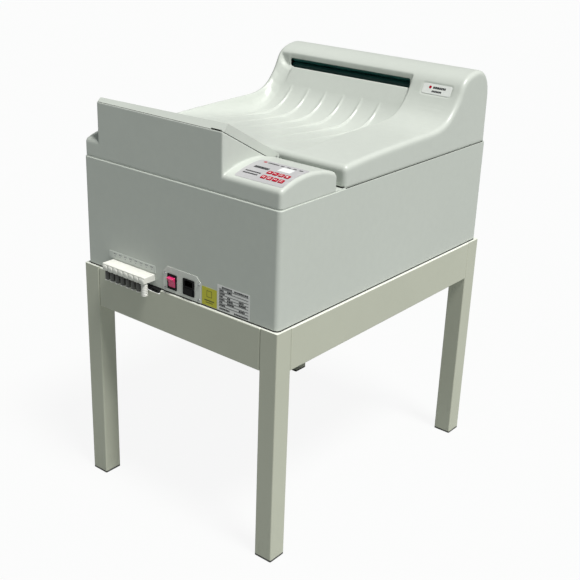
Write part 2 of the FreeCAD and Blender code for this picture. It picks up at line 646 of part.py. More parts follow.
inl = box(25.8, 62.2, yf - 3.2, yf - 1.2, 611.8, 652.2)
inl = fillet(inl, 2.5, lambda e: along(e, 1))
inl = inl.fuse(box(27.7, 60.3, yf - 1.2, yf + 30.0, 613.7, 650.3))
sock = prism_y([(31.5, 634.0), (56.5, 634.0), (56.5, 646.5), (53.0, 649.0), (35.0, 649.0), (31.5, 646.5)], yf - 4.0, yf + 16.0)
inl = inl.cut(sock)
for x, z in ((37.0, 638.5), (51.0, 638.5), (44.0, 643.5)):
    inl = inl.fuse(box(x - 1.0, x + 1.0, yf + 3.0, yf + 16.5, z - 2.0, z + 2.0))
inl = inl.cut(box(30.0, 58.0, yf - 4.0, yf + 27.0, 615.0, 630.0))
put("mains_inlet", inl)
fd = box(30.4, 57.6, yf - 4.4, yf - 2.0, 615.4, 629.6)
fd = fillet(fd, 1.2, lambda e: along(e, 1))
fd = fd.fuse(box(31.5, 56.5, yf - 2.0, yf + 25.0, 616.2, 628.8)).cut(box(34.0, 54.0, yf + 2.0, yf + 22.0, 618.4, 632.0))
put("fuse_drawer", fd)

put("panel_labels", group([box(85.0, 131.0, yf - 0.4, yf, 604.5, 649.0),
                           box(132.5, 230.0, yf - 0.4, yf, 604.5, 666.0),
                           box(-228.0, -67.0, yf - 0.4, yf, 637.0, 654.5)]))

mb = box(-216.0, -70.0, yf - 35.5, yf, 616.0, 633.5)
mb = fillet(mb, 2.0, lambda e: abs(e.BoundBox.YMax - (yf - 35.5)) < 0.01 or (along(e, 1)))
NZ_Y = yf - 26.0
for k in range(8):
    x = -207 + 18.3 * k
    mb = mb.cut(cz(x, NZ_Y, 4.0, 610.0, 625.0)).cut(cy(x, 625.0, 4.0, NZ_Y, yf + 1))
for k in range(9):
    mb = mb.cut(cz(-216.15 + 18.3 * k, yf - 36.0, 1.7, 615.0, 629.5))
put("hose_manifold", mb)
tails = []
for k in range(7):
    x = -207 + 18.3 * k
    t = cz(x, NZ_Y, 6.2, 596.0, 616.0).cut(cz(x, NZ_Y, 4.0, 595.0, 617.0))
    tails.append(t)
xd = -207 + 18.3 * 7
dr = cz(xd, NZ_Y, 7.0, 590.0, 616.0)
for j in range(5):
    dr = dr.fuse(Part.makeCone(8.2, 7.0, 3.6, V(xd, NZ_Y, 592.0 + 4.4 * j), V(0, 0, 1)))
dr = dr.cut(cz(xd, NZ_Y, 4.0, 589.0, 617.0)).removeSplitter()
# rubber clip under the housing floor that holds the drain hose
clip = box(-78.0, -53.4, -432.6, -404.0, 589.8, Z_STAND)
clip = fillet(clip, 1.5, lambda e: along(e, 1) and e.Vertexes[0].Z < 590.0)
for xa in (-75.0, -64.6):
    clip = clip.cut(box(xa, xa + 7.5, -433.0, -429.5, 592.4, 597.2))
put("hose_tails", group(tails + [dr, clip]))


# ------------------------------------------------------------ tanks and racks
def tanks(cs):
    # one moulding with a compartment for each bath
    o = box(-287.0, 167.0, min(cs) - 67.0, max(cs) + 67.0, 640.0, 850.0)
    o = fillet(o, 8.0, lambda e: along(e, 2))
    for c in cs:
        i = box(-283.0, 163.0, c - 63.0, c + 63.0, 644.0, 851.0)
        i = fillet(i, 5.0, lambda e: along(e, 2))
        o = o.cut(i)
    feet = [box(x, x + 22.0, y, y + 22.0, 607.0, 640.0) for x in (-275.0, 133.0) for y in (min(cs) - 55.0, max(cs) + 33.0)]
    o = o.fuse(feet)
    for c in cs:
        o = o.fuse(cz(-60.0, c, 9.0, 618.0, 640.0)).cut(cz(-60.0, c, 6.0, 617.0, 645.0))
    return o.removeSplitter()


RACK_C = {"developer": -150.0, "fixer": -15.0, "wash": 120.0}
RB_R = 20.0
RB_Z = 690.0


def rack(c):
    pl_pts = [(c - 44.0, 644.0), (c + 44.0, 644.0), (c + 44.0, 884.0), (c + 20.0, 884.0), (c + 12.0, 876.0),
              (c - 12.0, 876.0), (c - 20.0, 884.0), (c - 44.0, 884.0)]
    a = prism_x(pl_pts, PL_X0, PL_X0 + 5.0)
    b = prism_x(pl_pts, PL_X1 - 5.0, PL_X1)
    bars = [cx(y, z, 5.0, PL_X0 + 2.0, PL_X1 - 2.0) for y, z in ((c - 38.0, 780.0), (c + 38.0, 780.0), (c, 800.0))]
    g = [box(PL_X0 + 2.0, PL_X1 - 2.0, c - 34.0, c - 32.5, 706.0, 842.0), box(PL_X0 + 2.0, PL_X1 - 2.0, c + 32.5, c + 34.0, 706.0, 842.0)]
    s = a.fuse([b] + bars + g)
    s = s.cut(cx(c - 28.0, Z_TOPROLL, BORE, PL_X0 - 1, PL_X1 + 1))
    s = s.fuse(cx(c + 28.0, Z_TOPROLL, 9.0, PL_X0 + 2.0, PL_X1 - 2.0))
    s = s.cut(cx(c, RB_Z, BORE, PL_X0 - 1, PL_X1 + 1))
    return s.removeSplitter()


def roller(y, z, r, x_end, wheel=0.0):
    s = cx(y, z, r, ROLL_X0, ROLL_X1)
    s = fillet(s, 1.2, lambda e: e.BoundBox.XLength < 0.01 and e.BoundBox.YLength > 2 * r - 0.1)
    s = s.fuse(cx(y, z, JR, PL_X0 + 0.3, x_end))
    if wheel:
        w = cx(y, z, wheel, SHAFT_X - 7.0, SHAFT_X + 7.0)
        s = s.fuse(w)
    return s.removeSplitter()


put("bath_tanks", tanks(list(RACK_C.values())))
for n, c in RACK_C.items():
    put("rack_" + n, rack(c))
    put("roller_%s_in" % n, roller(c - 28.0, Z_TOPROLL, 12.0, SHAFT_X + 8.0, 14.0))
    put("roller_%s_turn" % n, roller(c, RB_Z, RB_R, PL_X1 - 0.3))

# feed rollers below the feed slot, in two hanging side plates
FR = ((-266.0, 862.0), (-250.0, 878.2))
put("feed_roller_lower", roller(FR[0][0], FR[0][1], 11.0, SHAFT_X + 8.0, 14.0))
put("feed_roller_upper", roller(FR[1][0], FR[1][1], 11.0, PL_X1 - 0.3))
fp = []
for xa in (PL_X0, PL_X1 - 5.0):
    p = box(xa, xa + 5.0, -290.0, -236.0, 607.0, 893.0)
    for y, z in FR:
        p = p.cut(cx(y, z, BORE, xa - 1, xa + 6))
    fp.append(p)
fp.append(box(PL_X0 + 2, PL_X1 - 2, -286.0, -282.0, 640.0, 700.0))
put("feed_frame", fuse(fp))

# dryer: side plates, exit roller pair, air duct, heater and fan
EX = ((318.0, 1009.4), (318.0, 1036.2))
dp = []
for xa in (PL_X0, PL_X1 - 5.0):
    p = box(xa, xa + 5.0, 303.0, 352.0, 607.0, 1045.0)
    for y, z in EX:
        p = p.cut(cx(y, z, BORE, xa - 1, xa + 6))
    dp.append(p)
dp.append(box(PL_X0 + 2, PL_X1 - 2, 344.0, 348.0, 660.0, 860.0))
dp.append(cx(345.0, 960.0, 5.0, PL_X0 + 2, PL_X1 - 2))
put("dryer_frame", fuse(dp))
put("exit_roller_lower", roller(EX[0][0], EX[0][1], 13.0, PL_X1 - 0.3))
put("exit_roller_upper", roller(EX[1][0], EX[1][1], 13.0, PL_X1 - 0.3))

du = box(-262.0, 142.0, 196.0, 292.0, 640.0, 850.0)
du = du.cut(box(-259.0, 139.0, 199.0, 289.0, 643.0, 851.0))
du = du.cut(box(FAN_X - 50, FAN_X + 50, 280.0, 300.0, FAN_Z - 50, FAN_Z + 50))
du = du.fuse([box(x, x + 20.0, y, y + 20.0, 607.0, 640.0) for x in (-255.0, 115.0) for y in (202.0, 266.0)])
put("dryer_duct", du.removeSplitter())
hb = [cx(y, 700.0, 4.0, -245.0, 125.0) for y in (225.0, 262.0)]
hb.append(box(-245.0, -237.0, 221.0, 266.0, 643.0, 704.0))
hb.append(box(117.0, 125.0, 221.0, 266.0, 643.0, 704.0))
put("dryer_heater", fuse(hb))
ff = box(FAN_X - 60, FAN_X + 60, 396.5, BODY_HY - WALL, FAN_Z - 60, FAN_Z + 60)
ff = fillet(ff, 6.0, lambda e: along(e, 1))
ff = ff.cut(cy(FAN_X, FAN_Z, 56.0, 395.0, BODY_HY))
ff = ff.fuse([box(FAN_X - 57, FAN_X + 57, 396.5, 399.5, FAN_Z - 3, FAN_Z + 3), cy(FAN_X, FAN_Z, 18.0, 396.5, 400.0),
              cy(FAN_X, FAN_Z, 3.0, 399.0, 415.0)])
put("fan_frame", ff.removeSplitter())
fr_ = cy(FAN_X, FAN_Z, 19.0, 401.0, 419.0)
for k in range(7):
    bl = Part.makeBox(34.0, 1.6, 16.0, V(17.5, -0.8, -8.0))
    bl.rotate(V(0, 0, 0), V(1, 0, 0), 50.0)
    bl.rotate(V(0, 0, 0), V(0, 0, 1), 360.0 / 7 * k)
    bl.rotate(V(0, 0, 0), V(1, 0, 0), -90.0)
    bl.translate(V(FAN_X, 410.0, FAN_Z))
    fr_ = fr_.fuse(bl)
fr_ = fr_.cut(cy(FAN_X, FAN_Z, 3.06, 400.0, 416.0)).removeSplitter()
put("fan_rotor", fr_)

# ---------------------------------------------------------------- drive train
WY = [FR[0][0]] + [c - 28.0 for c in RACK_C.values()]
ds = cy(SHAFT_X, SHAFT_Z, 5.0, -296.0, 175.0)
for y in WY:
    ds = ds.fuse(cy(SHAFT_X, SHAFT_Z, 7.0, y - 9.0, y + 9.0))
ds = ds.fuse(cy(SHAFT_X, SHAFT_Z, 10.0, -308.0, -284.0)).cut(cy(SHAFT_X, SHAFT_Z, 4.06, -309.0, -292.0))
put("drive_shaft", ds.removeSplitter())
rail = [box(197.0, 201.0, -290.0, 185.0, 780.0, 862.0)]
for y in (-222.0, -110.0, 25.0, 160.0):
    b = box(171.0, 197.0, y - 6.0, y + 6.0, 829.0, 852.0).cut(cy(SHAFT_X, SHAFT_Z, 5.06, y - 7, y + 7))
    rail.append(b)
for y in (-280.0, 160.0):
    rail.append(box(197.0, 201.0, y - 5, y + 15, 607.0, 780.0))
    rail.append(box(197.0, 222.0, y - 5, y + 15, 607.0, 610.0))
put("drive_rail", fuse(rail))
mo = cy(SHAFT_X, SHAFT_Z, 28.0, -396.0, -330.0).fuse(box(SHAFT_X - 30, SHAFT_X + 30, -330.0, -309.0, SHAFT_Z - 30, SHAFT_Z + 30))
mo = mo.fuse(cy(SHAFT_X, SHAFT_Z, 4.0, -310.0, -294.0))
mo = mo.fuse(box(SHAFT_X - 25, SHAFT_X + 25, -326.0, -313.0, 607.0, SHAFT_Z - 25))
put("drive_motor", mo.removeSplitter())

# circulation pump and control board
pu = cz(250.0, 10.0, 32.0, 617.0, 700.0)
pu = pu.fuse([box(212.0, 288.0, -28.0, 48.0, 607.0, 617.0), cz(250.0, 10.0, 22.0, 700.0, 726.0),
              cx(10.0, 640.0, 7.0, 205.0, 225.0), cy(250.0, 640.0, 7.0, 38.0, 60.0)])
put("circulation_pump", pu.removeSplitter())
cb = box(-230.0, -70.0, -413.0, -411.0, 670.0, 800.0)
for x, z in ((-222.0, 678.0), (-78.0, 678.0), (-222.0, 792.0), (-78.0, 792.0)):
    cb = cb.fuse(cy(x, z, 3.5, -BODY_HY + WALL, -413.0))
cb = cb.fuse([box(-220.0, -180.0, -411.0, -385.0, 740.0, 785.0), box(-160.0, -120.0, -411.0, -398.0, 690.0, 712.0),
              box(-110.0, -84.0, -411.0, -391.0, 700.0, 780.0)])
put("control_board", cb.removeSplitter())

# --------------------------------------------------------------------- export
os.makedirs("parts", exist_ok=True)
lo = [1e9] * 3
hi = [-1e9] * 3
for name, shape in parts.items():
    shape = shape.copy()
    shape.translate(V(0, Y_SHIFT, 0))
    shape.exportStep("parts/%s.step" % name)
    bb = shape.BoundBox
    for i, (a, b) in enumerate(((bb.XMin, bb.XMax), (bb.YMin, bb.YMax), (bb.ZMin, bb.ZMax))):
        lo[i] = min(lo[i], a)
        hi[i] = max(hi[i], b)
    print("%-26s solids %2d valid %s vol %.0f" % (name, len(shape.Solids), shape.isValid(), shape.Volume))
print(len(parts), "nodes", [round(v, 2) for v in lo], [round(v, 2) for v in hi])
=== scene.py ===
import bpy
import bmesh
import json
import math
import random
from mathutils import Vector, Matrix


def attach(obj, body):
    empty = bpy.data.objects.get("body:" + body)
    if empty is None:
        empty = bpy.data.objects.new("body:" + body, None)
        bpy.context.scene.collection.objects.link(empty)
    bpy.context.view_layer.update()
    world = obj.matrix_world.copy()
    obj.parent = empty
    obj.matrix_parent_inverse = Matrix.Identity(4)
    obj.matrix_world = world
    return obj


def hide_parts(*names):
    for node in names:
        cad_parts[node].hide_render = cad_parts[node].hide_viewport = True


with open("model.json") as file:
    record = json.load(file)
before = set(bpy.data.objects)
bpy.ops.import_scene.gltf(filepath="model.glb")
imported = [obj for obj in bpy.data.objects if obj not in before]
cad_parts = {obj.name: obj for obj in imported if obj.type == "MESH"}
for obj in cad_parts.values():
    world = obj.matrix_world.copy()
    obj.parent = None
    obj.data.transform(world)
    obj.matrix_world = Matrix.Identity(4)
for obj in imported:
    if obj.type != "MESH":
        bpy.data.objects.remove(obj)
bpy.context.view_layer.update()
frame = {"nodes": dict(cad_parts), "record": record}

NODES = frame["nodes"]
REC = frame["record"]
BODY_OF = {n: b for b, ns in REC["behaviour"]["bodies"].items() for n in ns}
SLOT_OF = {s["node"]: s["material_slot"] for s in REC["subparts"]}

# The CAD drawing's Y zero lies this far behind the frame's origin (metres).
YS = 0.01475


def P(x, y, z):
    """drawing millimetres to frame metres"""
    return Vector((x / 1000.0, y / 1000.0 + YS, z / 1000.0))


# ------------------------------------------------------------------ materials
def new_mat(name):
    m = bpy.data.materials.new(name)
    m.use_nodes = True
    nt = m.node_tree
    bsdf = nt.nodes["Principled BSDF"]
    tc = nt.nodes.new("ShaderNodeTexCoord")
    return m, nt, bsdf, tc


def noise(nt, tc, scale, detail=3.0, rough=0.55, stretch=None):
    n = nt.nodes.new("ShaderNodeTexNoise")
    n.inputs["Scale"].default_value = scale
    n.inputs["Detail"].default_value = detail
    n.inputs["Roughness"].default_value = rough
    if stretch:
        mp = nt.nodes.new("ShaderNodeMapping")
        mp.inputs["Scale"].default_value = stretch
        nt.links.new(tc.outputs["Object"], mp.inputs["Vector"])
        nt.links.new(mp.outputs["Vector"], n.inputs["Vector"])
    else:
        nt.links.new(tc.outputs["Object"], n.inputs["Vector"])
    return n


def ramp(nt, src, stops):
    r = nt.nodes.new("ShaderNodeValToRGB")
    el = r.color_ramp.elements
    while len(el) > 1:
        el.remove(el[-1])
    for i, (pos, col) in enumerate(stops):
        e = el[0] if i == 0 else el.new(pos)
        e.position = pos
        e.color = (*col, 1.0) if len(col) == 3 else col
    nt.links.new(src, r.inputs["Fac"])
    return r


def map_range(nt, src, a, b, lo, hi):
    m = nt.nodes.new("ShaderNodeMapRange")
    m.inputs["From Min"].default_value = a
    m.inputs["From Max"].default_value = b
    m.inputs["To Min"].default_value = lo
    m.inputs["To Max"].default_value = hi
    nt.links.new(src, m.inputs["Value"])
    return m


def mix_rgb(nt, fac, a, b, mode="MIX"):
    m = nt.nodes.new("ShaderNodeMix")
    m.data_type = "RGBA"
    m.blend_type = mode
    for sock, val in ((0, fac), (6, a), (7, b)):
        if isinstance(val, bpy.types.NodeSocket):
            nt.links.new(val, m.inputs[sock])
        elif sock == 0:
            m.inputs[0].default_value = val
        else:
            m.inputs[sock].default_value = (*val, 1.0)
    return m.outputs[2]


def bump(nt, bsdf, chain):
    """chain: list of (height output, strength, distance)"""
    prev = None
    for h, s, d in chain:
        b = nt.nodes.new("ShaderNodeBump")
        b.inputs["Strength"].default_value = s
        b.inputs["Distance"].default_value = d
        nt.links.new(h, b.inputs["Height"])
        if prev:
            nt.links.new(prev, b.inputs["Normal"])
        prev = b.outputs["Normal"]
    nt.links.new(prev, bsdf.inputs["Normal"])


def moulded(name, col, rough=0.42, grain=1100.0, grain_s=0.10, var=0.012, edge_wear_and_highlight=0.35, coat=0.0,
            spec=0.5, streak=0.0, dust=0.05):
    """moulded plastic: spark-eroded grain, slow colour drift, lighter convex edges (rubbed wear, and at full strength
    a painted edge highlight), faint dust on top faces
    """
    m, nt, b, tc = new_mat(name)
    lo = tuple(max(0.0, c * (1 - var)) for c in col)
    hi = tuple(min(1.0, c * (1 + var)) for c in col)
    big = noise(nt, tc, 4.0, 4.0)
    base = ramp(nt, big.outputs["Fac"], [(0.30, lo), (0.70, hi)]).outputs["Color"]
    mid = noise(nt, tc, 55.0, 4.0)
    sp = ramp(nt, mid.outputs["Fac"], [(0.40, (0.985, 0.985, 0.985)), (0.62, (1.0, 1.0, 1.0))])
    base = mix_rgb(nt, 1.0, base, sp.outputs["Color"], "MULTIPLY")
    geo = nt.nodes.new("ShaderNodeNewGeometry")
    # lighter convex edges: rubbed wear, and where the strength is high a painted highlight along the edges
    if edge_wear_and_highlight:
        edge = ramp(nt, geo.outputs["Pointiness"], [(0.515, (0, 0, 0)), (0.60, (1, 1, 1))])
        wn = noise(nt, tc, 120.0, 3.0)
        wf = nt.nodes.new("ShaderNodeMath")
        wf.operation = "MULTIPLY"
        nt.links.new(edge.outputs["Color"], wf.inputs[0])
        wr = map_range(nt, wn.outputs["Fac"], 0.35, 0.65, 0.15 * edge_wear_and_highlight, edge_wear_and_highlight)
        nt.links.new(wr.outputs["Result"], wf.inputs[1])
        light = tuple(min(1.0, c * 1.10 + 0.02) for c in col)
        base = mix_rgb(nt, wf.outputs[0], base, light)
    if dust:
        sx = nt.nodes.new("ShaderNodeSeparateXYZ")
        nt.links.new(geo.outputs["Normal"], sx.inputs[0])
        up = map_range(nt, sx.outputs["Z"], 0.6, 1.0, 0.0, dust)
        dn = noise(nt, tc, 18.0, 5.0)
        dm = nt.nodes.new("ShaderNodeMath")
        dm.operation = "MULTIPLY"
        nt.links.new(up.outputs["Result"], dm.inputs[0])
        nt.links.new(dn.outputs["Fac"], dm.inputs[1])
        base = mix_rgb(nt, dm.outputs[0], base, tuple(min(1.0, c * 0.5 + 0.42) for c in col))
    nt.links.new(base, b.inputs["Base Color"])
    rr = map_range(nt, noise(nt, tc, 35.0, 5.0).outputs["Fac"], 0.3, 0.7, rough - 0.05, rough + 0.07)
    nt.links.new(rr.outputs["Result"], b.inputs["Roughness"])
    fine = noise(nt, tc, grain, 2.0)
    soft = noise(nt, tc, 9.0, 2.0)
    bump(nt, b, [(soft.outputs["Fac"], 0.03, 0.002), (fine.outputs["Fac"], grain_s, 0.0003)])
    b.inputs["Specular IOR Level"].default_value = spec
    if coat:
        b.inputs["Coat Weight"].default_value = coat
        b.inputs["Coat Roughness"].default_value = 0.12
    return m


def powder(name, col, rough=0.40):
    """powder-coated steel: orange peel, a painted highlight that lightens faces turned upward such as the apron top
    folds, handling marks low down
    """
    m, nt, b, tc = new_mat(name)
    big = noise(nt, tc, 3.0, 4.0)
    lo = tuple(c * 0.965 for c in col)
    hi = tuple(min(1.0, c * 1.03) for c in col)
    base = ramp(nt, big.outputs["Fac"], [(0.3, lo), (0.7, hi)]).outputs["Color"]
    sp = noise(nt, tc, 260.0, 2.0)
    spr = ramp(nt, sp.outputs["Fac"], [(0.70, (1, 1, 1)), (0.80, (0.90, 0.90, 0.88))])
    base = mix_rgb(nt, 1.0, base, spr.outputs["Color"], "MULTIPLY")
    # scuffs near the floor
    sxyz = nt.nodes.new("ShaderNodeSeparateXYZ")
    nt.links.new(tc.outputs["Object"], sxyz.inputs[0])
    low = map_range(nt, sxyz.outputs["Z"], 0.0, 0.16, 1.0, 0.0)
    sc = noise(nt, tc, 30.0, 6.0, 0.7, (3.0, 3.0, 0.6))
    scr = map_range(nt, sc.outputs["Fac"], 0.52, 0.70, 0.0, 0.28)
    mm = nt.nodes.new("ShaderNodeMath")
    mm.operation = "MULTIPLY"
    nt.links.new(low.outputs["Result"], mm.inputs[0])
    nt.links.new(scr.outputs["Result"], mm.inputs[1])
    base = mix_rgb(nt, mm.outputs[0], base, tuple(c * 0.55 for c in col))
    # painted highlight: faces turned upward are lightened towards a pale tone
    gn = nt.nodes.new("ShaderNodeNewGeometry")
    sn = nt.nodes.new("ShaderNodeSeparateXYZ")
    nt.links.new(gn.outputs["Normal"], sn.inputs[0])
    painted_top_highlight = map_range(nt, sn.outputs["Z"], 0.35, 0.75, 0.0, 0.8)
    base = mix_rgb(nt, painted_top_highlight.outputs["Result"], base, (0.86, 0.88, 0.82))
    nt.links.new(base, b.inputs["Base Color"])
    rr = map_range(nt, noise(nt, tc, 50.0, 4.0).outputs["Fac"], 0.3, 0.7, rough - 0.05, rough + 0.08)
    nt.links.new(rr.outputs["Result"], b.inputs["Roughness"])
    peel = noise(nt, tc, 420.0, 2.0)
    bump(nt, b, [(peel.outputs["Fac"], 0.16, 0.0004)])
    return m


def metal(name, col, rough=0.3, brush=(1.0, 1.0, 60.0), scale=40.0, spots=0.0):
    m, nt, b, tc = new_mat(name)
    b.inputs["Metallic"].default_value = 1.0
    br = noise(nt, tc, scale, 6.0, 0.7, brush)
    lo = tuple(c * 0.88 for c in col)
    hi = tuple(min(1.0, c * 1.06) for c in col)
    base = ramp(nt, br.outputs["Fac"], [(0.3, lo), (0.7, hi)]).outputs["Color"]
    if spots:
        st = noise(nt, tc, 90.0, 5.0)
        sr = map_range(nt, st.outputs["Fac"], 0.60, 0.75, 0.0, spots)
        base = mix_rgb(nt, sr.outputs["Result"], base, tuple(c * 0.5 for c in col))
    nt.links.new(base, b.inputs["Base Color"])
    rr = map_range(nt, br.outputs["Fac"], 0.3, 0.7, rough - 0.06, rough + 0.10)
    nt.links.new(rr.outputs["Result"], b.inputs["Roughness"])
    bump(nt, b, [(br.outputs["Fac"], 0.10, 0.0002)])
    return m


def rubber(name, col, rough=0.55, sheen=0.0):
    m, nt, b, tc = new_mat(name)
    big = noise(nt, tc, 14.0, 4.0)
    base = ramp(nt, big.outputs["Fac"], [(0.3, tuple(c * 0.8 for c in col)), (0.7, tuple(min(1, c * 1.2) for c in col))])
    nt.links.new(base.outputs["Color"], b.inputs["Base Color"])
    rr = map_range(nt, noise(nt, tc, 80.0, 4.0).outputs["Fac"], 0.3, 0.7, rough - 0.08, rough + 0.10)
    nt.links.new(rr.outputs["Result"], b.inputs["Roughness"])
    fine = noise(nt, tc, 700.0, 3.0)
    bump(nt, b, [(fine.outputs["Fac"], 0.25, 0.0003)])
    return m


def printed(name, col, rough=0.34):
    """printed film: fibres in the colour, very slight orange peel under a satin laminate"""
    m, nt, b, tc = new_mat(name)
    n1 = noise(nt, tc, 160.0, 5.0, 0.6)
    base = ramp(nt, n1.outputs["Fac"], [(0.3, tuple(c * 0.965 for c in col)), (0.7, tuple(min(1, c * 1.02) for c in col))])
    nt.links.new(base.outputs["Color"], b.inputs["Base Color"])
    rr = map_range(nt, noise(nt, tc, 70.0, 3.0).outputs["Fac"], 0.3, 0.7, rough - 0.05, rough + 0.08)
    nt.links.new(rr.outputs["Result"], b.inputs["Roughness"])
    bump(nt, b, [(n1.outputs["Fac"], 0.05, 0.0002)])
    return m


COVER = (0.600, 0.634, 0.592)
HOUSE = (0.580, 0.614, 0.572)
STAND = (0.540, 0.556, 0.462)
M = {
    "cover": moulded("cover_plastic", COVER, rough=0.33, edge_wear_and_highlight=0.0, dust=0.0, grain=420.0, grain_s=0.025),
    "housing": moulded("housing_plastic", HOUSE, rough=0.35, dust=0.02),
    "stand": powder("stand_powder_coat", STAND),
    "foot": rubber("foot_rubber", (0.085, 0.085, 0.080)),
    "steel": metal("zinc_plated_steel", (0.62, 0.63, 0.64), 0.32, (1, 1, 1), 90.0, 0.3),
    "label": printed("overlay_film", (0.490, 0.485, 0.500), 0.50),
    "window": printed("display_film", (0.88, 0.90, 0.90), 0.15),
    "key": moulded("key_red", (0.43, 0.001, 0.020), rough=0.50, grain_s=0.05, edge_wear_and_highlight=0.0, dust=0.0, spec=0.25),
    # edge lightening at full strength paints the plate's bright outline as a highlight
    "plate": moulded("satin_plate", (0.68, 0.70, 0.66), rough=0.26, edge_wear_and_highlight=1.0),
    "black": moulded("black_plastic", (0.006, 0.006, 0.007), rough=0.45, edge_wear_and_highlight=0.05, dust=0.0, spec=0.15),
    "panel_label": printed("label_film", (0.80, 0.80, 0.80)),
    "manifold": moulded("manifold_plastic", (0.83, 0.83, 0.78), rough=0.34),
    "tank": moulded("tank_plastic", (0.20, 0.21, 0.23), rough=0.40),
    "rack": moulded("rack_plastic", (0.045, 0.050, 0.056), rough=0.42),
    "roller": rubber("roller_rubber", (0.035, 0.040, 0.042), 0.45),
    "exit_roller": rubber("exit_roller_rubber", (0.012, 0.082, 0.074), 0.36),
    "sheet": metal("folded_sheet", (0.55, 0.56, 0.57), 0.36, (1, 1, 20.0), 30.0, 0.1),
    "heater": metal("heater_sheath", (0.40, 0.36, 0.33), 0.45, (1, 1, 1), 60.0, 0.4),
    "board": moulded("circuit_board", (0.02, 0.13, 0.055), rough=0.30, grain_s=0.3, edge_wear_and_highlight=0.0, dust=0.0),
    "motor": moulded("motor_paint", (0.035, 0.036, 0.038), rough=0.38),
    "gear": moulded("acetal", (0.66, 0.64, 0.56), rough=0.36),
}

# translucent red rocker
m, nt, b, tc = new_mat("rocker_red")
n1 = noise(nt, tc, 90.0, 3.0)
c1 = ramp(nt, n1.outputs["Fac"], [(0.3, (0.72, 0.035, 0.16)), (0.7, (0.85, 0.06, 0.24))])
nt.links.new(c1.outputs["Color"], b.inputs["Base Color"])
r1 = map_range(nt, n1.outputs["Fac"], 0.3, 0.7, 0.16, 0.24)
nt.links.new(r1.outputs["Result"], b.inputs["Roughness"])
b.inputs["Subsurface Weight"].default_value = 0.35
b.inputs["Subsurface Radius"].default_value = (0.004, 0.001, 0.001)
b.inputs["Subsurface Scale"].default_value = 1.0
b.inputs["Coat Weight"].default_value = 0.4
bump(nt, b, [(n1.outputs["Fac"], 0.03, 0.0002)])
M["rocker"] = m

# grey translucent hose tails, with a painted highlight lightening their lower ends
m, nt, b, tc = new_mat("tail_plastic")
n1 = noise(nt, tc, 60.0, 3.0)
c1 = ramp(nt, n1.outputs["Fac"], [(0.3, (0.20, 0.21, 0.21)), (0.7, (0.30, 0.31, 0.31))])
sz = nt.nodes.new("ShaderNodeSeparateXYZ")
nt.links.new(tc.outputs["Object"], sz.inputs[0])
# painted highlight: the bottom few millimetres of each tail are mixed towards a pale grey
painted_end_highlight = map_range(nt, sz.outputs["Z"], 0.5965, 0.6035, 0.95, 0.0)
nt.links.new(mix_rgb(nt, painted_end_highlight.outputs["Result"], c1.outputs["Color"], (0.72, 0.72, 0.68)), b.inputs["Base Color"])
r1 = map_range(nt, n1.outputs["Fac"], 0.3, 0.7, 0.10, 0.20)
nt.links.new(r1.outputs["Result"], b.inputs["Roughness"])
b.inputs["Transmission Weight"].default_value = 0.15
b.inputs["Coat Weight"].default_value = 0.6
bump(nt, b, [(n1.outputs["Fac"], 0.04, 0.0002)])
M["tail"] = m

# ink for printed marks
INK = printed("ink_dark", (0.012, 0.012, 0.016), 0.50)
INK_SOFT = printed("ink_grey", (0.17, 0.17, 0.20), 0.42)
ROCK_INK = printed("ink_rocker", (0.42, 0.02, 0.09), 0.40)
INK_OLIVE = printed("ink_olive", (0.10, 0.10, 0.012), 0.42)
WHITE_INK = printed("ink_white", (0.84, 0.84, 0.84), 0.42)
YELLOW = printed("yellow_film", (0.60, 0.58, 0.030), 0.36)
PALE = printed("pale_film", (0.62, 0.655, 0.62), 0.30)


def assign(o, mat_):
    o.data.materials.clear()
    o.data.materials.append(mat_)
    for p in o.data.polygons:
        p.material_index = 0


for n, o in NODES.items():
    assign(o, M[SLOT_OF[n]])


WHITE_TAIL = moulded("white_tail_plastic", (0.80, 0.80, 0.76), rough=0.32)
# black rubber, also used for dark strips that paint the shade in gaps between parts
BLACK_RUBBER_AND_SHADE = rubber("black_rubber_and_painted_shade", (0.008, 0.008, 0.008), 0.62)
# dark grey standing in for the shade that falls on the nozzles under the hose block
SHADE_SLEEVE = rubber("painted_shade_grey", (0.105, 0.105, 0.100), 0.30)
o = NODES["hose_tails"]
o.data.materials.append(WHITE_TAIL)
o.data.materials.append(BLACK_RUBBER_AND_SHADE)
for p in o.data.polygons:
    c = p.center
    if c.x > -0.0785 and c.y > -0.4189:
        p.material_index = 2
    elif c.x > -0.0885:
        p.material_index = 1
NAMEPLATE = printed("nameplate_film", (0.80, 0.82, 0.80), 0.22)
assign(NODES["nameplate"], NAMEPLATE)

